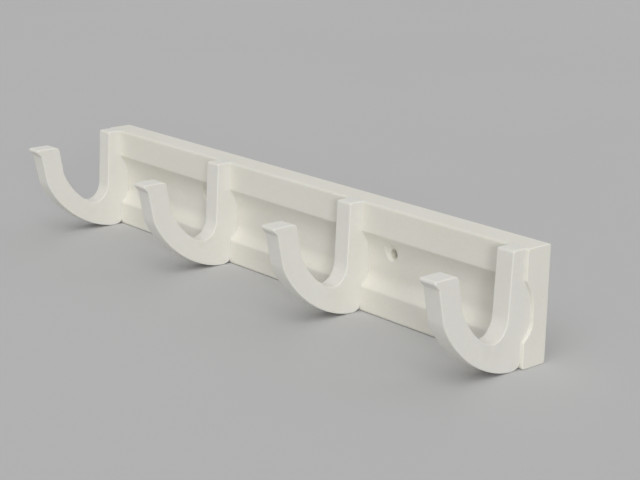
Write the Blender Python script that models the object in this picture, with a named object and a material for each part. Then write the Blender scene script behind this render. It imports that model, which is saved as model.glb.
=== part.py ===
"""Door hook rail: a straight moulded rail, and J-shaped hooks that are screwed onto it from behind.

Metres, +Z up. The rail runs along X. Its flat back lies against the door, on the +Y side, and the
hooks reach out towards -Y. The origin is at the base, in the middle of the box round the object.
An outline is a list of (distance in front of the door, height above the base) points."""

import math

import bmesh
import bpy
import numpy as np

# Rail
HOOK_COUNT = 4
HOOK_SPACING = 0.080
END_MARGIN = 0.00125  # rail past the outer side of an end hook
RAIL_HEIGHT = 0.043
BAND_DEPTH = 0.0115  # thickness of the band along the top
BAND_HEIGHT = 0.0115
LIP_DEPTH = 0.0115  # thickness of the lip along the bottom
LIP_HEIGHT = 0.010
COVE_DEPTH = 0.0075  # thickness of the rail at the floor of the cove
COVE_FLOOR = 0.004  # height of the cove's flat floor
COVE_LOWER_RISE = 0.0065  # height of the curve from the lip to that floor
COVE_POWER = 2.3  # how late the cove's curves turn outwards

# Hook, from the band's front outwards
BAR_THICKNESS = 0.006  # bar in front of the band, at the top
BAR_FLARE = 0.001  # how much thicker the bar is where the U starts
HEEL_REACH = 0.0063  # tight curve of the U, next to the bar
HEEL_RISE = 0.0078
SEAT_HEIGHT = 0.0122  # lowest point of the U, above the base
THROAT = 0.0227  # from the bar to the foot of the arm
ARM_RISE = 0.016  # from the lowest point of the U to the foot of the arm
ARM_STRAIGHT = 0.0113  # height of the arm's straight part
ARM_LEAN = 0.002  # how far the arm leans out over that height
ARM_FOOT_THICKNESS = 0.0083
ARM_TIP_THICKNESS = 0.0088
TIP_LIP_REACH = 0.002
TIP_LIP_FACE = 0.0012
TIP_INNER_RADIUS = 0.0022
BELLY_START = 0.004  # where the belly touches the base, in front of the band
BELLY_RISE = 0.0243  # height at which the belly becomes the arm
BELLY_EASE = 0.002  # how high the belly's back corner is eased, next to the lip
ARM_CURVE_POWER = 1.6
BELLY_CURVE_POWER = 1.66
ROUND_POWER = 2.0
EDGE_RADIUS = 0.0008
CREST_WEIGHT = 0.6  # share of that radius on the edges of the cove

# How a hook is held
FIT_GAP = 0.0003
THREAD_RADIUS = 0.00125
THREAD_ROOT_RADIUS = 0.0009
THREAD_PITCH = 0.0011
POINT_RADIUS = 0.0003
POINT_TAPER = 0.0018
HEAD_RADIUS = 0.0025
HEAD_THICKNESS = 0.0015
HEAD_CROWN = ((0, 0.6), (0.25, 0.88), (0.6, 1))  # shares of the head's thickness and radius
CROSS_LENGTH = 0.0026
CROSS_WIDTH = 0.0006
CROSS_DEPTH = 0.0008
HEAD_RECESS = 0.0022
SCREW_WEB = 0.0025  # rail between a screw's head and the tongue
SCREW_END_DISTANCE = 0.006  # from the tongue's end
PILOT_FRONT_WALL = 0.002  # plastic in front of a pilot hole
PILOT_SIDE_WALL = 0.0012  # plastic beside a pilot hole, in the tongue
SHOULDER_WIDTH = 0.001  # hook on either side of the tongue
TONGUE_END_COVER = 0.005  # rail above and below the tongue

# Fixing holes, for the screws that hold the rail on a door
FIXING_OFFSET = 0.0163  # outwards from the centre line of an inner hook
FIXING_DROP = 0.0071  # below the band
FIXING_RADIUS = 0.0018
COUNTERSINK_RADIUS = 0.0032

# Fineness of the mesh
CURVE_STEPS = 15
ROUND_SIDES = 24
THREAD_SIDES = 12
BEVEL_SEGMENTS = 2
SMOOTH_BELOW = math.radians(35)
CUT_PAST = 0.002  # how far a cutter runs past the face that it opens

# Finishes
IVORY = (0.80, 0.77, 0.68)
PLASTIC_ROUGHNESS = 0.5
STEEL_GREY = (0.56, 0.57, 0.58)
STEEL_ROUGHNESS = 0.35

PILOT_RADIUS = THREAD_RADIUS + FIT_GAP
TONGUE_WIDTH = 2 * (PILOT_RADIUS + PILOT_SIDE_WALL)
HOOK_WIDTH = TONGUE_WIDTH + 2 * SHOULDER_WIDTH
RAIL_LENGTH = (HOOK_COUNT - 1) * HOOK_SPACING + HOOK_WIDTH + 2 * END_MARGIN
BAND_EDGE = RAIL_HEIGHT - BAND_HEIGHT
BAR_FOOT = BAND_DEPTH + BAR_THICKNESS + BAR_FLARE
ARM_FOOT = BAR_FOOT + THROAT
ARM_TIP = ARM_FOOT + ARM_LEAN
TIP_HEIGHT = SEAT_HEIGHT + ARM_RISE + ARM_STRAIGHT
TOTAL_DEPTH = ARM_TIP + ARM_TIP_THICKNESS + TIP_LIP_REACH
BACK_Y = TOTAL_DEPTH / 2
HEAD_SEAT = HEAD_RECESS - FIT_GAP
POCKET_FLOOR = HEAD_RECESS + SCREW_WEB
PILOT_END = BAND_DEPTH + BAR_THICKNESS - PILOT_FRONT_WALL
TONGUE_BASE = TONGUE_END_COVER + FIT_GAP
TONGUE_TOP = RAIL_HEIGHT - TONGUE_END_COVER - FIT_GAP
SCREW_HEIGHTS = {
    "upper": TONGUE_TOP - SCREW_END_DISTANCE,
    "lower": TONGUE_BASE + SCREW_END_DISTANCE,
}
HOOK_PLACES = [HOOK_SPACING * (i - (HOOK_COUNT - 1) / 2) for i in range(HOOK_COUNT)]


def clear_scene():
    for obj in list(bpy.data.objects):
        bpy.data.objects.remove(obj, do_unlink=True)


def material(name, colour, roughness, metallic):
    made = bpy.data.materials.new(name)
    made.use_nodes = True
    shader = made.node_tree.nodes["Principled BSDF"]
    shader.inputs["Base Color"].default_value = (*colour, 1.0)
    shader.inputs["Roughness"].default_value = roughness
    shader.inputs["Metallic"].default_value = metallic
    return made


def place(name, mesh, parent=None, location=(0, 0, 0)):
    obj = bpy.data.objects.new(name, mesh)
    bpy.context.scene.collection.objects.link(obj)
    obj.location = location
    obj.parent = parent
    return obj


def boolean(obj, operation, mesh, location=(0, 0, 0)):
    """Joins a mesh to an object or cuts it out, and gives the hidden object that does it."""
    other = place(mesh.name, mesh, location=location)
    other.hide_render = True
    other.display_type = "WIRE"
    modifier = obj.modifiers.new(mesh.name, "BOOLEAN")
    modifier.object = other
    modifier.operation = operation
    modifier.solver = "EXACT"
    return other


def round_edges(obj):
    bevel = obj.modifiers.new("rounded edges", "BEVEL")
    bevel.limit_method = "WEIGHT"
    bevel.width = EDGE_RADIUS
    bevel.segments = BEVEL_SEGMENTS


def shade(mesh):
    mesh.shade_smooth()
    mesh.set_sharp_from_angle(angle=SMOOTH_BELOW)


def finished_mesh(obj, name):
    """The object's mesh with its modifiers applied."""
    graph = bpy.context.evaluated_depsgraph_get()
    mesh = bpy.data.meshes.new_from_object(obj.evaluated_get(graph))
    mesh.name = name
    shade(mesh)
    return mesh


def skin(name, rings):
    """A closed mesh through rings that have as many points each, with its two ends filled."""
    shape = bmesh.new()
    made = [[shape.verts.new(point) for point in ring] for ring in rings]
    shape.faces.new(made[0])
    shape.faces.new(made[-1])
    for near, far in zip(made, made[1:]):
        for i in range(len(near)):
            after = (i + 1) % len(near)
            shape.faces.new([near[i], near[after], far[after], far[i]])
    bmesh.ops.recalc_face_normals(shape, faces=shape.faces)
    mesh = bpy.data.meshes.new(name)
    shape.to_mesh(mesh)
    shape.free()
    return mesh


def across(name, outline, width):
    """An outline carried across X."""
    sides = (-width / 2, width / 2)
    return skin(name, [[(x, BACK_Y - distance, z) for distance, z in outline] for x in sides])


def turned(name, profile, sides):
    """A piece turned about the level line through the origin that runs towards -Y. The profile is a
    list of (distance in front of the door, radius) points."""
    angles = [2 * math.pi * i / sides for i in range(sides)]
    return skin(
        name,
        [
            [(r * math.cos(a), BACK_Y - distance, r * math.sin(a)) for a in angles]
            for distance, r in profile
        ],
    )


def set_bevel_weights(mesh, count, end_weights, corner_weights):
    """Marks which edges of an outline of count points, carried across X, are rounded: the end edges
    by the weight of the point that they start at, and the long edges by their corner's."""
    weights = mesh.attributes.new("bevel_weight_edge", "FLOAT", "EDGE")
    for edge in mesh.edges:
        a, b = sorted(edge.vertices)
        if a // count == b // count:
            start = b if b - a == count - 1 else a
            weights.data[edge.index].value = end_weights[start % count]
        else:
            weights.data[edge.index].value = corner_weights.get(a % count, 0.0)


def quarter(start, end, power, lean=0.0):
    """A quarter of a superellipse from start to end, which it reaches level. It leaves start upright,
    or with a lean, the distance that it goes outwards for each unit of height."""
    turn = np.linspace(0, math.pi / 2, CURVE_STEPS)
    out = 1 - np.cos(turn).clip(0) ** (2 / power)
    up = np.sin(turn) ** (2 / power)
    drop = (end[1] - start[1]) * up
    across = start[0] + (end[0] - start[0]) * out + lean * drop * (1 - up)
    return list(zip(across, start[1] + drop))


def rounded_corner(before, corner, after, radius):
    """The arc that rounds a corner of an outline."""
    corner = np.array(corner)
    back = (np.array(before) - corner) / np.linalg.norm(np.array(before) - corner)
    ahead = (np.array(after) - corner) / np.linalg.norm(np.array(after) - corner)
    half = math.acos(float(back @ ahead)) / 2
    middle = corner + (back + ahead) / np.linalg.norm(back + ahead) * radius / math.sin(half)
    first = corner + back * radius / math.tan(half) - middle
    last = corner + ahead * radius / math.tan(half) - middle
    sweep = math.pi - 2 * half
    return [
        tuple(middle + (math.sin(sweep - angle) * first + math.sin(angle) * last) / math.sin(sweep))
        for angle in np.linspace(0, sweep, CURVE_STEPS // 2)
    ]


def rail_front():
    """The rail's front from the base to the top: lip, cove and band."""
    floor_base = LIP_HEIGHT + COVE_LOWER_RISE
    floor_top = floor_base + COVE_FLOOR
    shares = np.linspace(0, 1, CURVE_STEPS)
    lower = [
        (COVE_DEPTH + (LIP_DEPTH - COVE_DEPTH) * s**COVE_POWER, floor_base - COVE_LOWER_RISE * s)
        for s in shares[::-2]
    ]
    upper = [
        (COVE_DEPTH + (BAND_DEPTH - COVE_DEPTH) * s**COVE_POWER, floor_top + (BAND_EDGE - floor_top) * s)
        for s in shares
    ]
    return [(LIP_DEPTH, 0), *lower, *upper, (BAND_DEPTH, RAIL_HEIGHT)]


def set_off(points, gap):
    """An open outline moved by gap towards the hooks, square to itself, and level at its ends."""
    points = np.array(points)
    along = np.gradient(points, axis=0)
    along /= np.linalg.norm(along, axis=1)[:, None]
    out = np.column_stack([along[:, 1], -along[:, 0]])
    out[[0, -1]] = (1, 0)
    return [tuple(point) for point in points + gap * out]


def hook_front():
    """The hook's outline from the top of its bar, through the U, over the tip and down the belly."""
    seat = (BAR_FOOT + HEEL_REACH, SEAT_HEIGHT)
    arm_foot = (ARM_FOOT, SEAT_HEIGHT + ARM_RISE)
    heel_top = (BAR_FOOT, SEAT_HEIGHT + HEEL_RISE)
    heel = quarter(heel_top, seat, ROUND_POWER, -BAR_FLARE / (RAIL_HEIGHT - heel_top[1]))
    throat = quarter(arm_foot, seat, ARM_CURVE_POWER, ARM_LEAN / ARM_STRAIGHT)[::-1]
    outer = ARM_TIP + ARM_TIP_THICKNESS
    lip = (outer + TIP_LIP_REACH, TIP_HEIGHT)
    tip = rounded_corner(arm_foot, (ARM_TIP, TIP_HEIGHT), lip, TIP_INNER_RADIUS)
    lip_face_end = (lip[0], TIP_HEIGHT - TIP_LIP_FACE)
    under_lip = (outer, lip_face_end[1] - TIP_LIP_REACH)
    belly_end = (BAND_DEPTH + BELLY_START, 0)
    belly_top = (ARM_FOOT + ARM_FOOT_THICKNESS, BELLY_RISE)
    belly_lean = (under_lip[0] - belly_top[0]) / (under_lip[1] - belly_top[1])
    belly = quarter(belly_top, belly_end, BELLY_CURVE_POWER, belly_lean)
    bar_top = (BAND_DEPTH + BAR_THICKNESS, RAIL_HEIGHT)
    front = [bar_top, *heel, *throat[1:], *tip, lip, lip_face_end, under_lip, *belly]
    return front, [bar_top, lip, lip_face_end]


def hook_mesh():
    """One hook: the J, its tongue, and the pilot holes that its screws bite into."""
    front, corners = hook_front()
    shoulder = set_off(rail_front(), FIT_GAP)
    shoulder[0] = (shoulder[0][0], BELLY_EASE)
    ease = quarter(shoulder[0], front[-1], ROUND_POWER)[::-1]
    outline = [*front, *ease[1:-1], *shoulder]
    blank = across("hook blank", outline, HOOK_WIDTH)
    sharp = len(outline) - len(shoulder)
    end_weights = [0.0 if sharp <= i < len(outline) - 1 else 1.0 for i in range(len(outline))]
    set_bevel_weights(blank, len(outline), end_weights, {outline.index(c): 1.0 for c in corners})
    pattern = place("hook pattern", blank)
    round_edges(pattern)
    tongue_front = BAND_DEPTH + BAR_THICKNESS / 2
    tongue = [
        (POCKET_FLOOR + FIT_GAP, TONGUE_BASE),
        (tongue_front, TONGUE_BASE),
        (tongue_front, TONGUE_TOP),
        (POCKET_FLOOR + FIT_GAP, TONGUE_TOP),
    ]
    helpers = [boolean(pattern, "UNION", across("tongue", tongue, TONGUE_WIDTH))]
    pilot = turned(
        "pilot hole", [(POCKET_FLOOR - CUT_PAST, PILOT_RADIUS), (PILOT_END, PILOT_RADIUS)], THREAD_SIDES
    )
    for height in SCREW_HEIGHTS.values():
        helpers.append(boolean(pattern, "DIFFERENCE", pilot, (0, 0, height)))
    mesh = finished_mesh(pattern, "hook")
    for helper in [pattern, *helpers]:
        bpy.data.objects.remove(helper, do_unlink=True)
    return mesh


def screw_mesh():
    """A pan-head thread-forming screw with a cross recess. Its thread is cut as rings."""
    head_top = HEAD_SEAT - HEAD_THICKNESS
    profile = [(head_top + HEAD_THICKNESS * deep, HEAD_RADIUS * wide) for deep, wide in HEAD_CROWN]
    profile += [(HEAD_SEAT, HEAD_RADIUS), (HEAD_SEAT, THREAD_ROOT_RADIUS)]
    point = PILOT_END - FIT_GAP
    crest = HEAD_SEAT + THREAD_PITCH
    while crest < point - POINT_TAPER:
        profile += [(crest, THREAD_RADIUS), (crest + THREAD_PITCH / 2, THREAD_ROOT_RADIUS)]
        crest += THREAD_PITCH
    profile.append((point, POINT_RADIUS))
    pattern = place("screw pattern", turned("screw blank", profile, THREAD_SIDES))
    half, thin = CROSS_LENGTH / 2, CROSS_WIDTH / 2
    outline = []
    for turn in range(4):
        c, s = math.cos(turn * math.pi / 2), math.sin(turn * math.pi / 2)
        outline += [(c * x - s * z, s * x + c * z) for x, z in ((half, thin), (thin, thin), (thin, half))]
    ends = (head_top - CUT_PAST, head_top + CROSS_DEPTH)
    cross = skin("cross recess", [[(x, BACK_Y - distance, z) for x, z in outline] for distance in ends])
    recess = boolean(pattern, "DIFFERENCE", cross)
    mesh = finished_mesh(pattern, "hook screw")
    for helper in (pattern, recess):
        bpy.data.objects.remove(helper, do_unlink=True)
    return mesh


def make_rail(finish):
    """The rail, with a pocket and two recessed screw holes for each hook, and its fixing holes."""
    front = rail_front()
    outline = [*front, (0, RAIL_HEIGHT), (0, 0)]
    blank = across("rail", outline, RAIL_LENGTH)
    corners = {(LIP_DEPTH, 0), (BAND_DEPTH, RAIL_HEIGHT), (0, RAIL_HEIGHT), (0, 0)}
    weights = {outline.index(corner): 1.0 for corner in corners}
    weights |= {1: CREST_WEIGHT, len(front) - 2: CREST_WEIGHT}
    set_bevel_weights(blank, len(outline), [1.0] * len(outline), weights)
    rail = place("rail", blank)
    round_edges(rail)
    pocket_front = max(BAND_DEPTH, LIP_DEPTH) + CUT_PAST
    pocket_outline = [
        (POCKET_FLOOR, TONGUE_BASE - FIT_GAP),
        (pocket_front, TONGUE_BASE - FIT_GAP),
        (pocket_front, TONGUE_TOP + FIT_GAP),
        (POCKET_FLOOR, TONGUE_TOP + FIT_GAP),
    ]
    pocket = across("pocket", pocket_outline, TONGUE_WIDTH + 2 * FIT_GAP)
    recess_radius = HEAD_RADIUS + FIT_GAP
    passage_profile = [
        (-CUT_PAST, recess_radius),
        (HEAD_RECESS, recess_radius),
        (HEAD_RECESS, PILOT_RADIUS),
        (POCKET_FLOOR + FIT_GAP, PILOT_RADIUS),
    ]
    passage = turned("screw passage", passage_profile, ROUND_SIDES)
    fixing_height = BAND_EDGE - FIXING_DROP
    distances, heights = zip(*front)
    surface = np.interp(fixing_height, heights, distances)
    fixing_profile = [
        (-CUT_PAST, FIXING_RADIUS),
        (surface - (COUNTERSINK_RADIUS - FIXING_RADIUS), FIXING_RADIUS),
        (surface + CUT_PAST, COUNTERSINK_RADIUS + CUT_PAST),
    ]
    fixing = turned("fixing hole", fixing_profile, ROUND_SIDES)
    for x in HOOK_PLACES:
        boolean(rail, "DIFFERENCE", pocket, (x, 0, 0))
        for height in SCREW_HEIGHTS.values():
            boolean(rail, "DIFFERENCE", passage, (x, 0, height))
    for side in (-1, 1):
        x = side * (HOOK_SPACING / 2 + FIXING_OFFSET)
        boolean(rail, "DIFFERENCE", fixing, (x, 0, fixing_height))
    blank.materials.append(finish)
    shade(blank)


def make_hooks(plastic, steel):
    """The hooks along the rail, each with its upper and lower screw."""
    hook = hook_mesh()
    hook.materials.clear()
    hook.materials.append(plastic)
    screw = screw_mesh()
    screw.materials.clear()
    screw.materials.append(steel)
    for number, x in enumerate(HOOK_PLACES, start=1):
        station = place(f"hook_{number}_station", None, location=(x, 0, 0))
        place(f"hook_{number}", hook, station)
        for level, height in SCREW_HEIGHTS.items():
            place(f"hook_{number}_{level}_screw", screw, station, (0, 0, height))


clear_scene()
make_rail(material("rail ivory plastic", IVORY, PLASTIC_ROUGHNESS, 0.0))
make_hooks(
    material("hook ivory plastic", IVORY, PLASTIC_ROUGHNESS, 0.0),
    material("screw steel", STEEL_GREY, STEEL_ROUGHNESS, 1.0),
)
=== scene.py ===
"""Looks of the door hook rail: a moulded ivory rail, its J-hooks and the screws that hold them.

Metres. The rail runs along X, its back lies on the +Y side and the hooks reach out towards -Y.
An outline is an array of (distance in front of the back, height above the base) points, closed,
and a piece is that outline carried across X with its ends rounded."""

import math

import bmesh
import bpy
import numpy as np
from mathutils import Matrix, Vector


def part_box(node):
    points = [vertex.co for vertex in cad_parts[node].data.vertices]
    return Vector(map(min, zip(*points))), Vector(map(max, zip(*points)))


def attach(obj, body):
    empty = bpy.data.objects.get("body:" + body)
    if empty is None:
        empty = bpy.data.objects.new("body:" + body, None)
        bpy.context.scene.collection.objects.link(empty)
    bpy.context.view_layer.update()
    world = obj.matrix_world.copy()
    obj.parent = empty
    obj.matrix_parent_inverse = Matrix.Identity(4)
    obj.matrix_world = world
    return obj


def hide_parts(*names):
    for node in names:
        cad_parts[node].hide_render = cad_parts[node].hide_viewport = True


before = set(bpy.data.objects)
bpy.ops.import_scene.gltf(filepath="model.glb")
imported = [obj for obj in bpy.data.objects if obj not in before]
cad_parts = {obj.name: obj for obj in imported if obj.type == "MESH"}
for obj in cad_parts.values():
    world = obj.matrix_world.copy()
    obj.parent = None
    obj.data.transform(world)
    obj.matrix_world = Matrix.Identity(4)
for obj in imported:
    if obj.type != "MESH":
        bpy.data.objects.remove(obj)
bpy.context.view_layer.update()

# The rail's section
BAND_DEPTH = 0.0115
BAND_HEIGHT = 0.0115
LIP_DEPTH = 0.0115
LIP_HEIGHT = 0.010
COVE_DEPTH = 0.0075
COVE_FLOOR = 0.004
COVE_LOWER_RISE = 0.0065
COVE_POWER = 2.3
RAIL_CORNER_RADIUS = 0.0010
RAIL_CREST_RADIUS = 0.0014
RAIL_END_RADIUS = 0.0004

# The hook's side view
BAR_THICKNESS = 0.006
BAR_FLARE = 0.001
HEEL_REACH = 0.0063
HEEL_RISE = 0.0078
SEAT_HEIGHT = 0.0122
THROAT = 0.0227
ARM_RISE = 0.016
ARM_STRAIGHT = 0.0113
ARM_LEAN = 0.002
ARM_FOOT_THICKNESS = 0.0083
ARM_TIP_THICKNESS = 0.0088
TIP_LIP_REACH = 0.002
TIP_LIP_FACE = 0.0012
TIP_INNER_RADIUS = 0.0022
TIP_LIP_RADIUS = 0.00085
UNDER_LIP_RADIUS = 0.0014
BELLY_START = 0.004
BELLY_RISE = 0.0243
BELLY_EASE = 0.002
EASE_FADE = 0.0012
ARM_CURVE_POWER = 1.6
BELLY_CURVE_POWER = 1.66
ELLIPSE_POWER = 2  # of the heel, and of the ease where the belly meets the rail
HOOK_EDGE_RADIUS = 0.0004
SEATED = 0.00005  # how far a hook's shoulder is pressed into the rail's surface

# The hook's tongue and the rail's holes
FIT_GAP = 0.0003
TONGUE_WIDTH = 0.0055
TONGUE_END_COVER = 0.005
POCKET_FLOOR = 0.0047
PILOT_END = 0.0155
SCREW_END_DISTANCE = 0.0063
FIXING_OFFSET = 0.0163
FIXING_DROP = 0.0071
FIXING_RADIUS = 0.0018
COUNTERSINK_RADIUS = 0.0032

# The screw. Its crown and rim are powers of the share of the head's radius
HEAD_RECESS = 0.0022
HEAD_RADIUS = 0.0025
HEAD_THICKNESS = 0.0015
HEAD_CROWN = 0.0004
CROWN_POWER = 2.5
RIM_FALL = 0.8
RIM_POWER = 9
RIM_HEIGHT = 0.0003
RIM_BEVEL = 0.00008
CROSS_LENGTH = 0.0026
CROSS_WIDTH = 0.0006
CROSS_DEPTH = 0.0008
CROSS_WALL = 0.00018
THREAD_RADIUS = 0.00125
THREAD_ROOT_RADIUS = 0.0009
THREAD_PITCH = 0.0011
THREAD_START = 0.0001
THREAD_STEEPNESS = 3.2
POINT_RADIUS = 0.0002
POINT_TAPER = 0.0018

# How finely the meshes are drawn
CURVE_POINTS = 60
FLANK_POINTS = 50
ARC_POINTS = 13
END_RINGS = 7
BEND_LENGTH = 0.0045  # a turn of one radian gets as many points as this length
RAIL_POINTS = 364
RAIL_RINGS = 41
HOOK_POINTS = 420
HOOK_RINGS = 7
SHOULDER_POINTS = 700
PILOT_SIDES = 32
SCREW_HOLE_SIDES = 48
FIXING_SIDES = 72
SCREW_SIDES = 64
HEAD_RINGS = 26
HEAD_MIDDLE = 0.02  # the share of the radius at which the innermost ring lies
HEAD_RING_POWER = 0.8
RINGS_PER_PITCH = 8
HAIR = 1e-6  # a length too small to see, to compare places with
SAME_POINT = 1e-7
NO_LENGTH = 1e-9
CUT_PAST = 0.002
SHARP_ANGLE = math.radians(32)
FLAT_FACE_WEIGHT = 80

# Plain, warm and pale tone of each moulding, and the darker tone of scuffs and of each hook's worn
# seat, which there is also painted shade in the hollow of the U
RAIL_IVORY = ((0.850, 0.832, 0.755), (0.829, 0.802, 0.707), (0.877, 0.863, 0.799))
HOOK_IVORY = ((0.848, 0.836, 0.782), (0.830, 0.809, 0.738), (0.874, 0.865, 0.822))
WEAR_AND_SHADE_TONE = (0.701, 0.669, 0.590)

# The plastic's patterns, and the part of each one's noise over which it comes in
FLOW_CLOUDS = dict(size=0.022, detail=2.0, stretch=(2.2, 1, 1))
FLECKS = dict(size=0.0016, detail=4.0)
SCUFFS = dict(size=0.0011, detail=5.0, roughness=0.7, stretch=(9, 1, 1.6))
GLOSS_PATCHES = dict(size=0.006)
SEAT_WEAR_AND_SHADE_PATCHES = dict(size=0.0035, detail=4.0, stretch=(3, 1, 1))
SATIN_GRAIN = dict(size=0.00035, detail=2.0)
MOULD_WAVES = dict(size=0.009, detail=2.0, stretch=(2.5, 1, 1))
CLOUD_BAND = (0.35, 0.65)
FLECK_BAND = (0.40, 0.68)
SCUFF_BAND = (0.62, 0.72)
SEAT_WEAR_AND_SHADE_BAND = (0.35, 0.62)
WIDE_BAND = (0.3, 0.7)
FULL = (0.0, 1.0)

# How strongly each pattern shows. A bump is (strength, height in metres)
CLOUD_SHARE = 0.45
FLECK_SHARE = 0.35
SCUFF_TINT = 0.10
SCUFF_ROUGHNESS = 0.10
SATIN_ROUGHNESS = (0.44, 0.56)
SEAT_WEAR_AND_SHADE_REACH = 0.009
SEAT_WEAR_AND_SHADE_HEART = 0.35
# How far the seat of each hook's U is darkened: wear, and painted shade in the hollow
SEAT_WEAR_AND_SHADE_TINT = 0.16
WORN_POLISH = 0.14
WAVE_BUMP = (0.25, 0.00012)
GRAIN_BUMP = (0.28, 0.00003)
SCUFF_BUMP = (0.15, -0.00001)
GLOW_WEIGHT = 0.12
GLOW_COLOURS = (1.0, 0.8, 0.5)
GLOW_DEPTH = 0.002
PATTERN_STEP = (3.1, 1.7)  # how far the pattern moves on from one hook to the next, in noise units
PATTERN_DROP = 0.9

# Zinc-plated steel
ZINC_BLUISH = (0.60, 0.62, 0.65)
ZINC_YELLOWISH = (0.66, 0.63, 0.55)
PLATING_DRIFT = dict(size=0.004, detail=2.0)
TURNED_RINGS = dict(size=0.0004, detail=2.0, stretch=(4, 1, 4))
PITS = dict(size=0.00025)
ZINC_ROUGHNESS = (0.26, 0.44)
RING_BUMP = (0.2, 0.00002)
PIT_BUMP = (0.25, 0.00002)

# Table top, backdrop and lights. A lamp is its azimuth from +X to +Y, its elevation, its level
# and its breadth, with the angles in degrees
FLOOR_REACH = 6.0
FLOOR_GREYS = ((0.562, 0.562, 0.562), (0.572, 0.572, 0.572))
FLOOR_CLOUDS = dict(size=0.35, detail=2.0)
FLOOR_ROUGHNESS = 0.9
FLOOR_SPECULAR = 0.2
AMBIENT_COLOUR = (1.0, 1.0, 1.0, 1.0)
AMBIENT_LEVEL = 0.28
BACKDROP_GREY = (0.452, 0.452, 0.452, 1.0)
LAMPS = {
    "low lamp": (-33, 14, 0.27, 14),
    "high window": (-55, 52, 0.36, 50),
    "back window": (90, 48, 0.185, 80),
}

# Camera, as the photograph was taken
CAMERA_PLACE = (0.437105, -0.351710, 0.181500)
CAMERA_AZIMUTH = 48.627
CAMERA_ELEVATION = 15.957
CAMERA_ROLL = 0.804
CAMERA_NEAR = 0.01
FOCAL_PIXELS = 1497.93
PHOTO_WIDTH = 640
SENSOR_WIDTH = 36.0

# Places that follow from the frame and from the sizes above
rail_low, rail_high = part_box("rail")
BACK_Y = rail_high.y
RAIL_HEIGHT = rail_high.z
RAIL_LENGTH = rail_high.x - rail_low.x
BAND_EDGE = RAIL_HEIGHT - BAND_HEIGHT
HOOK_NAMES = sorted(
    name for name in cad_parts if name.startswith("hook_") and "screw" not in name)
HOOK_PLACES = [(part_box(name)[0].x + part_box(name)[1].x) / 2 for name in HOOK_NAMES]
HOOK_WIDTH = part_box(HOOK_NAMES[0])[1].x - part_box(HOOK_NAMES[0])[0].x
BAR_FOOT = BAND_DEPTH + BAR_THICKNESS + BAR_FLARE
ARM_FOOT = BAR_FOOT + THROAT
ARM_TIP = ARM_FOOT + ARM_LEAN
TIP_HEIGHT = SEAT_HEIGHT + ARM_RISE + ARM_STRAIGHT
TONGUE_BASE = TONGUE_END_COVER + FIT_GAP
TONGUE_TOP = RAIL_HEIGHT - TONGUE_END_COVER - FIT_GAP
SCREW_HEIGHTS = {
    "upper": RAIL_HEIGHT - TONGUE_END_COVER - SCREW_END_DISTANCE,
    "lower": TONGUE_END_COVER + SCREW_END_DISTANCE,
}
HEAD_SEAT = HEAD_RECESS - FIT_GAP
FIXING_PLACE = min(abs(x) for x in HOOK_PLACES) + FIXING_OFFSET
FIXING_HEIGHT = BAND_EDGE - FIXING_DROP


def quarter(start, end, power, lean=0.0):
    """A quarter superellipse, which reaches end level: across the box between the two points,
    distance goes as 1 - cos^(2/power) and height as sin^(2/power). It leaves start upright, or
    with a lean, the distance outwards for each unit of height, which fades out towards end."""
    turn = np.linspace(0, math.pi / 2, CURVE_POINTS)
    out = 1 - np.cos(turn).clip(0) ** (2 / power)
    up = np.sin(turn) ** (2 / power)
    drop = (end[1] - start[1]) * up
    distance = start[0] + (end[0] - start[0]) * out + lean * drop * (1 - up)
    return np.column_stack([distance, start[1] + drop])


def rounded(outline, corners):
    """The closed outline with named corners replaced by arcs. corners holds (point, radius)
    pairs. An arc's centre lies on the corner's bisector, radius / sin(half angle) away, and
    outline points nearer to the corner than the arc's ends are dropped."""
    points = np.array(outline, float)
    for place, radius in corners:
        at = int(np.argmin(np.linalg.norm(points - place, axis=1)))
        corner = points[at]
        points = np.roll(points, -at, axis=0)[1:]
        back = (points[-1] - corner) / np.linalg.norm(points[-1] - corner)
        ahead = (points[0] - corner) / np.linalg.norm(points[0] - corner)
        half = math.acos(float(np.clip(back @ ahead, -1, 1))) / 2
        reach = radius / math.tan(half)
        bisector = (back + ahead) / np.linalg.norm(back + ahead)
        middle = corner + bisector * radius / math.sin(half)
        first, last = corner + back * reach - middle, corner + ahead * reach - middle
        sweep = math.pi - 2 * half
        angle = np.linspace(0, sweep, ARC_POINTS)[:, None]
        arc = middle + (np.sin(sweep - angle) * first + np.sin(angle) * last) / math.sin(sweep)
        keep = np.linalg.norm(points - corner, axis=1) > reach
        points = np.vstack([points[keep], arc])
    return points


def evened(outline, count):
    """The closed outline with count points, placed evenly in length plus BEND_LENGTH a radian,
    so that they crowd where it turns."""
    closed = np.vstack([outline, outline[:1]])
    length = np.linalg.norm(np.diff(closed, axis=0), axis=1)
    closed = closed[np.append(length > NO_LENGTH, True)]
    step = np.diff(closed, axis=0)
    length = np.linalg.norm(step, axis=1)
    angle = np.unwrap(np.arctan2(step[:, 1], step[:, 0]))
    once_round = 2 * math.pi * np.sign(angle[-1] - angle[0])
    turn = np.abs(np.diff(angle, append=angle[0] + once_round))
    cost = length + BEND_LENGTH * (turn + np.roll(turn, 1)) / 2
    measure = np.append(0, np.cumsum(cost))
    wanted = np.linspace(0, measure[-1], count, endpoint=False)
    return np.column_stack([np.interp(wanted, measure, closed[:, i]) for i in (0, 1)])


def outward(outline):
    """Unit normals of a closed outline that runs anticlockwise: its tangent, turned by a right
    angle."""
    along = np.roll(outline, -1, axis=0) - np.roll(outline, 1, axis=0)
    along /= np.linalg.norm(along, axis=1)[:, None]
    return np.column_stack([along[:, 1], -along[:, 0]])


def stations_across(width, radius, count):
    """(x, inset) of a piece's rings from end to end. Each end is rounded by a quarter circle of
    that radius, and count - 2 rings without an inset stand evenly between the two."""
    turn = np.linspace(0, math.pi / 2, END_RINGS)
    end = np.column_stack([width / 2 - radius * (1 - np.sin(turn)), radius * (1 - np.cos(turn))])
    middle = np.linspace(-1, 1, count)[1:-1, None] * (end[0, 0], 0)
    return np.vstack([end[::-1] * (-1, 1), middle, end])


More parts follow.
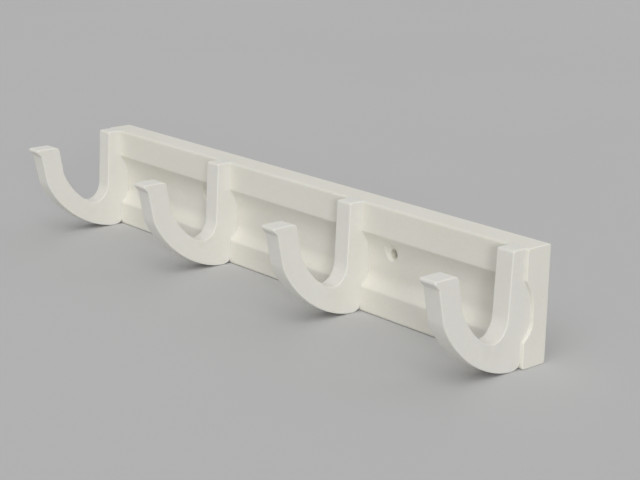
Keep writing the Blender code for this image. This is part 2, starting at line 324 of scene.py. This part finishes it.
def mesh_object(name, points, faces):
    """A closed piece from its points and faces, with its faces turned outwards."""
    mesh = bpy.data.meshes.new(name)
    mesh.from_pydata(points.tolist(), [], faces)
    shape = bmesh.new()
    shape.from_mesh(mesh)
    bmesh.ops.remove_doubles(shape, verts=shape.verts, dist=SAME_POINT)
    bmesh.ops.recalc_face_normals(shape, faces=shape.faces)
    shape.to_mesh(mesh)
    shape.free()
    obj = bpy.data.objects.new(name, mesh)
    bpy.context.scene.collection.objects.link(obj)
    return obj


def skin_faces(rings, around, offset=0):
    """Faces of a closed tube of rings with around points each: a quad for each step along and
    around, and one face over each end. Point numbers start at offset."""
    ring, side = np.meshgrid(np.arange(rings - 1), np.arange(around), indexing="ij")
    after = (side + 1) % around
    quads = np.stack([ring * around + side, ring * around + after,
                      (ring + 1) * around + after, (ring + 1) * around + side], axis=-1)
    first = np.arange(around)
    ends = [(first + offset).tolist(), (first[::-1] + (rings - 1) * around + offset).tolist()]
    return (quads.reshape(-1, 4) + offset).tolist() + ends


def across(name, outline, stations, weights, surface=None):
    """An outline carried across X. Each station is (x, inset): its ring is the outline moved
    inwards along its normals by the inset times each point's weight. A ring that meets a
    surface, a line of points from low to high, stays in front of it and lies the inset lower
    than its top."""
    moved = outward(outline) * weights[:, None]
    rings = [outline - inset * moved for _, inset in stations]
    if surface is not None:
        for ring, (_, inset) in zip(rings, stations):
            ring[:, 1] = np.minimum(ring[:, 1], surface[-1, 1] - inset)
            front = np.interp(ring[:, 1], surface[:, 1], surface[:, 0])
            ring[:, 0] = np.maximum(ring[:, 0], front)
    points = np.vstack([
        np.column_stack([np.full(len(ring), x), BACK_Y - ring[:, 0], ring[:, 1]])
        for (x, _), ring in zip(stations, rings)
    ])
    return mesh_object(name, points, skin_faces(len(rings), len(outline)))


def turned(profile, centre, sides):
    """Rings of a profile of (distance in front of the back, radius), turned about a level axis:
    X is the centre's plus radius times cos, and Z the centre's plus radius times sin."""
    angle = np.linspace(0, 2 * math.pi, sides, endpoint=False)
    distance, radius = np.array(profile).T
    x = centre[0] + radius[:, None] * np.cos(angle)
    z = centre[1] + radius[:, None] * np.sin(angle)
    y = np.broadcast_to((BACK_Y - distance)[:, None], x.shape)
    return np.stack([x, y, z], axis=-1)


def box(low, high):
    """Two rings of four corners each, for the box between a low and a high corner."""
    corners = [(0, 0), (1, 0), (1, 1), (0, 1)]
    low, high = np.array(low), np.array(high)
    return np.array([[low + (high - low) * (a, b, c) for a, c in corners] for b in (0, 1)])


def cutter(name, solids):
    """Several closed tubes as one helper object. Each solid is an array of rings of points."""
    points, faces = [], []
    for rings in solids:
        faces += skin_faces(*rings.shape[:2], sum(map(len, points)))
        points.append(rings.reshape(-1, 3))
    return mesh_object(name, np.vstack(points), faces)


def combined(blank, helpers):
    """The blank's mesh with each helper joined to it or cut from it. All of them are removed."""
    for helper, operation in helpers:
        modifier = blank.modifiers.new(helper.name, "BOOLEAN")
        modifier.object = helper
        modifier.operation = operation
        modifier.solver = "EXACT"
    depsgraph = bpy.context.evaluated_depsgraph_get()
    mesh = bpy.data.meshes.new_from_object(blank.evaluated_get(depsgraph))
    for obj in [blank, *(helper for helper, _ in helpers)]:
        bpy.data.objects.remove(obj, do_unlink=True)
    return mesh


def shifted(mesh, name, x, z=0.0):
    """A copy of a mesh, moved along the rail and up."""
    copy = mesh.copy()
    copy.name = name
    copy.transform(Matrix.Translation((x, 0, z)))
    return copy


def show(name, mesh, finish, node):
    """Puts a finished mesh in place of its CAD node, smooth, with flat faces kept flat."""
    mesh.materials.clear()
    mesh.materials.append(finish)
    mesh.shade_smooth()
    mesh.set_sharp_from_angle(angle=SHARP_ANGLE)
    obj = bpy.data.objects.new(name, mesh)
    bpy.context.scene.collection.objects.link(obj)
    normals = obj.modifiers.new("flat faces stay flat", "WEIGHTED_NORMAL")
    normals.keep_sharp = True
    normals.weight = FLAT_FACE_WEIGHT
    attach(obj, "root")
    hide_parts(node)


def rail_front():
    """The rail's front from base to top. The cove's two flanks leave its floor as height to the
    power COVE_POWER."""
    floor_base = LIP_HEIGHT + COVE_LOWER_RISE
    floor_top = floor_base + COVE_FLOOR
    share = np.linspace(0, 1, FLANK_POINTS)
    flank = share**COVE_POWER
    lower = np.column_stack([
        COVE_DEPTH + (LIP_DEPTH - COVE_DEPTH) * flank,
        floor_base - COVE_LOWER_RISE * share,
    ])
    upper = np.column_stack([
        COVE_DEPTH + (BAND_DEPTH - COVE_DEPTH) * flank,
        floor_top + (BAND_EDGE - floor_top) * share,
    ])
    return np.vstack([(LIP_DEPTH, 0), lower[::-1], upper, (BAND_DEPTH, RAIL_HEIGHT)])


def rail_outline():
    """The rail's whole section, anticlockwise, with its long edges rounded."""
    sharp = np.vstack([rail_front(), (0, RAIL_HEIGHT), (0, 0)])
    return rounded(sharp, [
        ((0, 0), RAIL_CORNER_RADIUS),
        ((LIP_DEPTH, 0), RAIL_CORNER_RADIUS),
        ((LIP_DEPTH, LIP_HEIGHT), RAIL_CREST_RADIUS),
        ((BAND_DEPTH, BAND_EDGE), RAIL_CREST_RADIUS),
        ((BAND_DEPTH, RAIL_HEIGHT), RAIL_CORNER_RADIUS),
        ((0, RAIL_HEIGHT), RAIL_CORNER_RADIUS),
    ])


def pockets():
    """The pockets in the rail's front for the hooks' tongues, each FIT_GAP larger all round."""
    half = TONGUE_WIDTH / 2 + FIT_GAP
    return cutter("pockets", [
        box((x - half, BACK_Y - BAND_DEPTH - CUT_PAST, TONGUE_BASE - FIT_GAP),
            (x + half, BACK_Y - POCKET_FLOOR, TONGUE_TOP + FIT_GAP))
        for x in HOOK_PLACES])


def screw_holes():
    """The holes in the rail's back for the hooks' screws: a recess for the head, and a passage
    for the shank as far as the pocket."""
    recess, passage = HEAD_RADIUS + FIT_GAP, THREAD_RADIUS + FIT_GAP
    profile = [(-CUT_PAST, recess), (HEAD_RECESS, recess), (HEAD_RECESS, passage),
               (POCKET_FLOOR + FIT_GAP, passage)]
    return cutter("screw_holes", [
        turned(profile, (x, z), SCREW_HOLE_SIDES)
        for x in HOOK_PLACES for z in SCREW_HEIGHTS.values()])


def fixing_holes():
    """The two holes that hang the rail, with a countersink at 45 degrees in the cove."""
    front = rail_front()
    surface = np.interp(FIXING_HEIGHT, front[:, 1], front[:, 0])
    profile = [(-CUT_PAST, FIXING_RADIUS),
               (surface - (COUNTERSINK_RADIUS - FIXING_RADIUS), FIXING_RADIUS),
               (surface + CUT_PAST, COUNTERSINK_RADIUS + CUT_PAST)]
    return cutter("fixing_holes", [
        turned(profile, (side * FIXING_PLACE, FIXING_HEIGHT), FIXING_SIDES) for side in (-1, 1)])


def rail_shape():
    """The rail: its section carried from end to end with rounded ends, less its pockets, its
    screw holes and its fixing holes."""
    outline = evened(rail_outline(), RAIL_POINTS)
    stations = stations_across(RAIL_LENGTH, RAIL_END_RADIUS, RAIL_RINGS)
    blank = across("rail_blank", outline, stations, np.ones(len(outline)))
    return combined(blank, [(cut(), "DIFFERENCE") for cut in (pockets, screw_holes, fixing_holes)])


def shoulder_line():
    """Where a hook meets the rail, from low to high: the front of the rail's rounded section,
    from the height of the belly's eased corner to where its top is level, moved inwards along
    its normals by SEATED."""
    section = evened(rail_outline(), SHOULDER_POINTS)
    back = int(np.argmin(np.linalg.norm(section - (0, RAIL_HEIGHT / 2), axis=1)))
    section = np.roll(section, -back, axis=0)
    inside = section - SEATED * outward(section)
    front = (section[:, 0] > COVE_DEPTH - HAIR) & (section[:, 1] > BELLY_EASE)
    front &= (section[:, 0] > BAND_DEPTH - RAIL_CORNER_RADIUS) | (section[:, 1] < BAND_EDGE)
    return np.vstack([inside[front], (BAND_DEPTH - RAIL_CORNER_RADIUS, RAIL_HEIGHT)])


def hook_outline():
    """The hook's side view, anticlockwise: superellipse quarters for the heel, the throat and
    the belly, and straight lines for the bar, the arm and its tip. It gives the outline, each
    point's share of the edge rounding, which fades out along the shoulder, and the shoulder."""
    seat = (BAR_FOOT + HEEL_REACH, SEAT_HEIGHT)
    arm_foot = (ARM_FOOT, SEAT_HEIGHT + ARM_RISE)
    heel_top = (BAR_FOOT, SEAT_HEIGHT + HEEL_RISE)
    heel = quarter(heel_top, seat, ELLIPSE_POWER, -BAR_FLARE / (RAIL_HEIGHT - heel_top[1]))
    throat = quarter(arm_foot, seat, ARM_CURVE_POWER, ARM_LEAN / ARM_STRAIGHT)[::-1]
    outer = ARM_TIP + ARM_TIP_THICKNESS
    lip = (outer + TIP_LIP_REACH, TIP_HEIGHT)
    lip_face_end = (lip[0], TIP_HEIGHT - TIP_LIP_FACE)
    under_lip = (outer, lip_face_end[1] - TIP_LIP_REACH)
    belly_end = (BAND_DEPTH + BELLY_START, 0)
    belly_top = (ARM_FOOT + ARM_FOOT_THICKNESS, BELLY_RISE)
    belly_lean = (under_lip[0] - belly_top[0]) / (under_lip[1] - belly_top[1])
    belly = quarter(belly_top, belly_end, BELLY_CURVE_POWER, belly_lean)
    bar_top = (BAND_DEPTH + BAR_THICKNESS, RAIL_HEIGHT)
    shoulder = shoulder_line()
    ease = quarter(shoulder[0], belly_end, ELLIPSE_POWER)[::-1]
    tip = (ARM_TIP, TIP_HEIGHT)
    clockwise = np.vstack([
        bar_top, heel, throat[1:], tip, lip, lip_face_end, under_lip, belly, ease[1:-1], shoulder])
    outline = rounded(clockwise, [
        (bar_top, RAIL_CORNER_RADIUS),
        (tip, TIP_INNER_RADIUS),
        (lip, TIP_LIP_RADIUS),
        (lip_face_end, TIP_LIP_RADIUS),
        (under_lip, UNDER_LIP_RADIUS),
    ])
    outline = evened(outline, HOOK_POINTS)[::-1]
    on_shoulder = (outline[:, 0] < BAND_DEPTH + SEATED) & (outline[:, 1] < RAIL_HEIGHT - HAIR)
    fade = (1 - (outline[:, 1] - BELLY_EASE) / EASE_FADE).clip(0, 1)
    return outline, np.where(on_shoulder, fade, 1.0), shoulder


def hook_shape():
    """One hook at X = 0: the J with its edges rounded, plus its tongue, less its two pilot
    holes."""
    outline, weights, shoulder = hook_outline()
    stations = stations_across(HOOK_WIDTH, HOOK_EDGE_RADIUS, HOOK_RINGS)
    blank = across("hook_blank", outline, stations, weights, shoulder)
    tongue = cutter("tongue", [
        box((-TONGUE_WIDTH / 2, BACK_Y - BAND_DEPTH - BAR_THICKNESS / 2, TONGUE_BASE),
            (TONGUE_WIDTH / 2, BACK_Y - POCKET_FLOOR - FIT_GAP, TONGUE_TOP))])
    profile = [(POCKET_FLOOR - CUT_PAST, THREAD_RADIUS), (PILOT_END, THREAD_RADIUS)]
    pilots = cutter("pilots", [
        turned(profile, (0, z), PILOT_SIDES) for z in SCREW_HEIGHTS.values()])
    return combined(blank, [(tongue, "UNION"), (pilots, "DIFFERENCE")])


def screw_head(angle):
    """(distance, radius) of a pan head's rings, from its middle out and over its rim. Its top
    falls towards the rim as two powers of the share of the radius, and has a cross in it: the
    depth is full where a point lies half a CROSS_WALL inside a slot's sides, none where it lies
    that far outside, and even in between."""
    even = np.ones(len(angle))
    share = (np.linspace(HEAD_MIDDLE, 1, HEAD_RINGS) ** HEAD_RING_POWER)[:, None]
    radius = share * HEAD_RADIUS * even
    level, upright = np.abs(radius * np.cos(angle)), np.abs(radius * np.sin(angle))
    slots = [
        np.minimum((CROSS_LENGTH / 2 - along) / CROSS_WALL, (CROSS_WIDTH / 2 - aside) / CROSS_WALL)
        for along, aside in ((level, upright), (upright, level))
    ]
    cross = np.maximum(*slots).clip(-0.5, 0.5) + 0.5
    top = HEAD_SEAT - HEAD_THICKNESS
    dome = top + HEAD_CROWN * share**CROWN_POWER + HEAD_CROWN * RIM_FALL * share**RIM_POWER
    rim = np.array([
        (HEAD_SEAT - RIM_HEIGHT, HEAD_RADIUS),
        (HEAD_SEAT - RIM_BEVEL, HEAD_RADIUS),
        (HEAD_SEAT, HEAD_RADIUS - RIM_BEVEL),
        (HEAD_SEAT, THREAD_RADIUS),
    ])
    distance = np.vstack([dome + CROSS_DEPTH * cross, rim[:, :1] * even])
    return distance, np.vstack([radius, rim[:, 1:] * even])


def screw_shank(angle):
    """(distance, radius) of a shank's rings. The radius is the root, which tapers to the point,
    plus a ridge that runs once round for each pitch along, grows over the first pitch and fades
    as the square root of the taper."""
    along = np.arange(HEAD_SEAT + THREAD_START, PILOT_END - FIT_GAP, THREAD_PITCH / RINGS_PER_PITCH)
    phase = (along[:, None] / THREAD_PITCH - angle / (2 * math.pi)) % 1.0
    ridge = np.maximum(0, 1 - np.abs(phase - 0.5) * THREAD_STEEPNESS)
    rise = np.minimum(1, (along - along[0]) / THREAD_PITCH)[:, None]
    taper = np.minimum(1, (along[-1] - along) / POINT_TAPER)[:, None]
    root = POINT_RADIUS + (THREAD_ROOT_RADIUS - POINT_RADIUS) * taper
    radius = root + (THREAD_RADIUS - THREAD_ROOT_RADIUS) * ridge * rise * np.sqrt(taper)
    return along[:, None] * np.ones(len(angle)), radius


def screw_shape():
    """One pan-head screw about the line X = 0, Z = 0: the rings of its head and then those of
    its shank, as one closed tube."""
    angle = np.linspace(0, 2 * math.pi, SCREW_SIDES, endpoint=False)
    distance, radius = map(np.vstack, zip(screw_head(angle), screw_shank(angle)))
    points = np.stack([radius * np.cos(angle), BACK_Y - distance, radius * np.sin(angle)], axis=-1)
    return combined(cutter("screw_blank", [points]), [])


def feed(tree, socket, value):
    """Links a socket from another one, or sets its value."""
    if isinstance(value, bpy.types.NodeSocket):
        tree.links.new(value, socket)
    else:
        socket.default_value = value


def add_node(tree, kind, inputs=None, **settings):
    """A new node with its settings, and with its inputs fed."""
    node = tree.nodes.new(kind)
    for key, value in settings.items():
        setattr(node, key, value)
    for key, value in (inputs or {}).items():
        feed(tree, node.inputs[key], value)
    return node


class Nodes:
    """A small helper to write a material's nodes one after another."""

    def __init__(self, name):
        """A new material, whose patterns are placed by the piece's own coordinates in metres."""
        self.material = bpy.data.materials.new(name)
        self.material.use_nodes = True
        self.tree = self.material.node_tree
        self.place = self.add("ShaderNodeTexCoord").outputs["Object"]

    def add(self, kind, inputs=None, **settings):
        """A new node of this material."""
        return add_node(self.tree, kind, inputs, **settings)

    def math(self, operation, *values):
        """A sum, product or the like of values."""
        return self.add("ShaderNodeMath", dict(enumerate(values)), operation=operation).outputs[0]

    def noise(self, size, detail=3.0, roughness=0.55, stretch=(1, 1, 1), shift=(0, 0, 0)):
        """Noise whose features are about size metres, stretched and shifted."""
        mapped = self.add("ShaderNodeMapping", {
            "Vector": self.place, "Location": shift, "Scale": [1 / (size * s) for s in stretch]})
        made = self.add("ShaderNodeTexNoise", {
            "Vector": mapped.outputs[0], "Scale": 1.0, "Detail": detail, "Roughness": roughness})
        return made.outputs["Fac"]

    def ranged(self, value, source, target):
        """A value moved from one range to another in a smooth step, and held at its ends."""
        limits = zip(("From Min", "From Max", "To Min", "To Max"), (*source, *target))
        node = self.add("ShaderNodeMapRange", {"Value": value, **dict(limits)},
                        interpolation_type="SMOOTHSTEP")
        return node.outputs[0]

    def mixed(self, share, first, second):
        """A colour on the way from the first to the second, by share."""
        node = self.add("ShaderNodeMix", {"Factor": share}, data_type="RGBA")
        ends = {socket.name: socket for socket in node.inputs if socket.type == "RGBA"}
        for name, colour in (("A", first), ("B", second)):
            feed(self.tree, ends[name], (*colour, 1.0) if isinstance(colour, tuple) else colour)
        return next(socket for socket in node.outputs if socket.type == "RGBA")

    def bump(self, height, strength, distance, under=None):
        """A bump of that height, on top of the one under it."""
        inputs = {"Height": height, "Strength": strength, "Distance": distance}
        if under:
            inputs["Normal"] = under
        return self.add("ShaderNodeBump", inputs).outputs[0]

    def finish(self, **inputs):
        """The material, with the shader's own sockets fed."""
        shader = self.tree.nodes["Principled BSDF"]
        for key, value in inputs.items():
            feed(self.tree, shader.inputs[key.replace("_", " ")], value)
        return self.material


def moulded_plastic(name, tones, shift, wear_and_shade_line=None):
    """Ivory moulded plastic: faint flow clouding, pale flecks, a fine satin grain and hairline
    scuffs. The last argument is the (Y, Z) of a line along X at the seat of the hook's U, on which
    straps hang. The patch about it is polished by wear and slightly darkened. The darkening is
    wear and also painted shade in the hollow of the U. It fades out with the distance from the
    line, the root of the sum of two squares, between the heart share of its reach and its reach."""
    n = Nodes(name)
    plain, warm, pale = tones
    clouds = n.ranged(n.noise(**FLOW_CLOUDS, shift=shift), CLOUD_BAND, (0.0, CLOUD_SHARE))
    flecks = n.ranged(n.noise(**FLECKS, shift=shift), FLECK_BAND, (0.0, FLECK_SHARE))
    colour = n.mixed(flecks, n.mixed(clouds, plain, warm), pale)
    scuffs = n.ranged(n.noise(**SCUFFS, shift=shift), SCUFF_BAND, FULL)
    rough = n.ranged(n.noise(**GLOSS_PATCHES, shift=shift), WIDE_BAND, SATIN_ROUGHNESS)
    rough = n.math("ADD", rough, n.math("MULTIPLY", scuffs, SCUFF_ROUGHNESS))
    if wear_and_shade_line:
        parts = n.add("ShaderNodeSeparateXYZ", {0: n.place}).outputs
        offsets = [n.math("SUBTRACT", parts[i + 1], wear_and_shade_line[i]) for i in (0, 1)]
        squares = [n.math("POWER", offset, 2.0) for offset in offsets]
        far = n.math("SQRT", n.math("ADD", *squares))
        near = n.ranged(far, (SEAT_WEAR_AND_SHADE_HEART * SEAT_WEAR_AND_SHADE_REACH, SEAT_WEAR_AND_SHADE_REACH), (1.0, 0.0))
        patches = n.ranged(n.noise(**SEAT_WEAR_AND_SHADE_PATCHES, shift=shift), SEAT_WEAR_AND_SHADE_BAND, FULL)
        wear_and_shade_mask = n.math("MULTIPLY", near, patches)
        # Darker towards the seat line: wear, and painted shade in the hollow of the U
        colour = n.mixed(n.math("MULTIPLY", wear_and_shade_mask, SEAT_WEAR_AND_SHADE_TINT), colour, WEAR_AND_SHADE_TONE)
        rough = n.math("SUBTRACT", rough, n.math("MULTIPLY", wear_and_shade_mask, WORN_POLISH))
    colour = n.mixed(n.math("MULTIPLY", scuffs, SCUFF_TINT), colour, WEAR_AND_SHADE_TONE)
    bump = n.bump(n.noise(**MOULD_WAVES, shift=shift), *WAVE_BUMP)
    bump = n.bump(n.noise(**SATIN_GRAIN, shift=shift), *GRAIN_BUMP, bump)
    bump = n.bump(scuffs, *SCUFF_BUMP, bump)
    return n.finish(
        Base_Color=colour, Roughness=rough, Normal=bump, Subsurface_Weight=GLOW_WEIGHT,
        Subsurface_Radius=GLOW_COLOURS, Subsurface_Scale=GLOW_DEPTH)


def zinc_plated_steel():
    """Zinc-plated steel: bright, with a faint bluish to yellowish drift, turned rings and small
    pits."""
    n = Nodes("zinc_plated_screw")
    drift = n.ranged(n.noise(**PLATING_DRIFT), CLOUD_BAND, FULL)
    pits = n.noise(**PITS)
    bump = n.bump(n.noise(**TURNED_RINGS), *RING_BUMP)
    return n.finish(
        Base_Color=n.mixed(drift, ZINC_BLUISH, ZINC_YELLOWISH),
        Roughness=n.ranged(pits, WIDE_BAND, ZINC_ROUGHNESS),
        Normal=n.bump(pits, *PIT_BUMP, bump), Metallic=1.0)


def make_object():
    """The rail, its hooks and their screws, each in place of its CAD node."""
    rail_plastic = moulded_plastic("rail_plastic", RAIL_IVORY, (0.0, 0.0, 0.0))
    show("rail_body", rail_shape(), rail_plastic, "rail")
    hook = hook_shape()
    screw = screw_shape()
    steel = zinc_plated_steel()
    seat = (BACK_Y - BAR_FOOT - HEEL_REACH, SEAT_HEIGHT)
    for number, (node, x) in enumerate(zip(HOOK_NAMES, HOOK_PLACES), start=1):
        shift = (PATTERN_STEP[0] * number, PATTERN_STEP[1] * number, PATTERN_DROP)
        plastic = moulded_plastic(f"hook_{number}_plastic", HOOK_IVORY, shift, seat)
        show(f"{node}_body", shifted(hook, node, x), plastic, node)
        for level, z in SCREW_HEIGHTS.items():
            name = f"{node}_{level}_screw"
            show(f"{name}_body", shifted(screw, name, x, z), steel, name)


def make_floor():
    """A plain pale grey table top under the base, which reaches past the view."""
    corners = [(-1, -1), (1, -1), (1, 1), (-1, 1)]
    points = [(FLOOR_REACH * x, FLOOR_REACH * y, 0) for x, y in corners]
    mesh = bpy.data.meshes.new("floor")
    mesh.from_pydata(points, [], [(0, 1, 2, 3)])
    n = Nodes("floor_grey")
    shade = n.ranged(n.noise(**FLOOR_CLOUDS), WIDE_BAND, FULL)
    mesh.materials.append(n.finish(
        Base_Color=n.mixed(shade, *FLOOR_GREYS), Roughness=FLOOR_ROUGHNESS,
        Specular_IOR_Level=FLOOR_SPECULAR))
    floor = bpy.data.objects.new("floor", mesh)
    bpy.context.scene.collection.objects.link(floor)


def make_backdrop():
    """An even white light on the object from all round, and a grey backdrop where the camera, a
    reflection or a view through looks past it: the backdrop's share is the sum of the three
    kinds of ray, held at 1."""
    world = bpy.data.worlds.new("studio")
    bpy.context.scene.world = world
    world.use_nodes = True
    tree = world.node_tree
    tree.nodes.clear()
    rays = add_node(tree, "ShaderNodeLightPath").outputs
    share = rays["Is Camera Ray"]
    for kind in ("Is Glossy Ray", "Is Transmission Ray"):
        total = add_node(tree, "ShaderNodeMath", {0: share, 1: rays[kind]}, operation="ADD",
                         use_clamp=True)
        share = total.outputs[0]
    ambient = add_node(tree, "ShaderNodeBackground", {
        "Color": AMBIENT_COLOUR, "Strength": AMBIENT_LEVEL})
    backdrop = add_node(tree, "ShaderNodeBackground", {"Color": BACKDROP_GREY})
    both = add_node(tree, "ShaderNodeMixShader", {
        0: share, 1: ambient.outputs[0], 2: backdrop.outputs[0]})
    add_node(tree, "ShaderNodeOutputWorld", {0: both.outputs[0]})


def make_lamp(name, azimuth, elevation, level, breadth):
    """A far light, as broad as a lamp or a large window. Its level is the share of its colour
    that a white surface facing it would show, a sun's strength divided by pi."""
    light = bpy.data.lights.new(name, "SUN")
    light.energy = level * math.pi
    light.angle = math.radians(breadth)
    obj = bpy.data.objects.new(name, light)
    bpy.context.scene.collection.objects.link(obj)
    turn, rise = math.radians(azimuth), math.radians(elevation)
    flat = math.cos(rise)
    towards = Vector((math.cos(turn) * flat, math.sin(turn) * flat, math.sin(rise)))
    obj.rotation_euler = towards.to_track_quat("Z", "Y").to_euler()


def make_camera():
    """The camera, from its place, the way it looks and its roll. Its focal length is
    FOCAL_PIXELS, turned from pixels of the photograph into the sensor's millimetres."""
    camera = bpy.data.cameras.new("camera")
    camera.sensor_width = SENSOR_WIDTH
    camera.lens = FOCAL_PIXELS / PHOTO_WIDTH * SENSOR_WIDTH
    camera.clip_start = CAMERA_NEAR
    obj = bpy.data.objects.new("camera", camera)
    bpy.context.scene.collection.objects.link(obj)
    turn, tilt = math.radians(CAMERA_AZIMUTH), math.radians(CAMERA_ELEVATION)
    flat = math.cos(tilt)
    forward = Vector((-math.sin(turn) * flat, math.cos(turn) * flat, -math.sin(tilt)))
    level = forward.to_track_quat("-Z", "Y").to_matrix().to_4x4()
    roll = Matrix.Rotation(math.radians(CAMERA_ROLL), 4, "Z")
    obj.matrix_world = Matrix.Translation(CAMERA_PLACE) @ level @ roll
    bpy.context.scene.camera = obj


make_camera()
make_object()
make_floor()
make_backdrop()
for name, lamp in LAMPS.items():
    make_lamp(name, *lamp)
bpy.context.scene.view_settings.view_transform = "Standard"
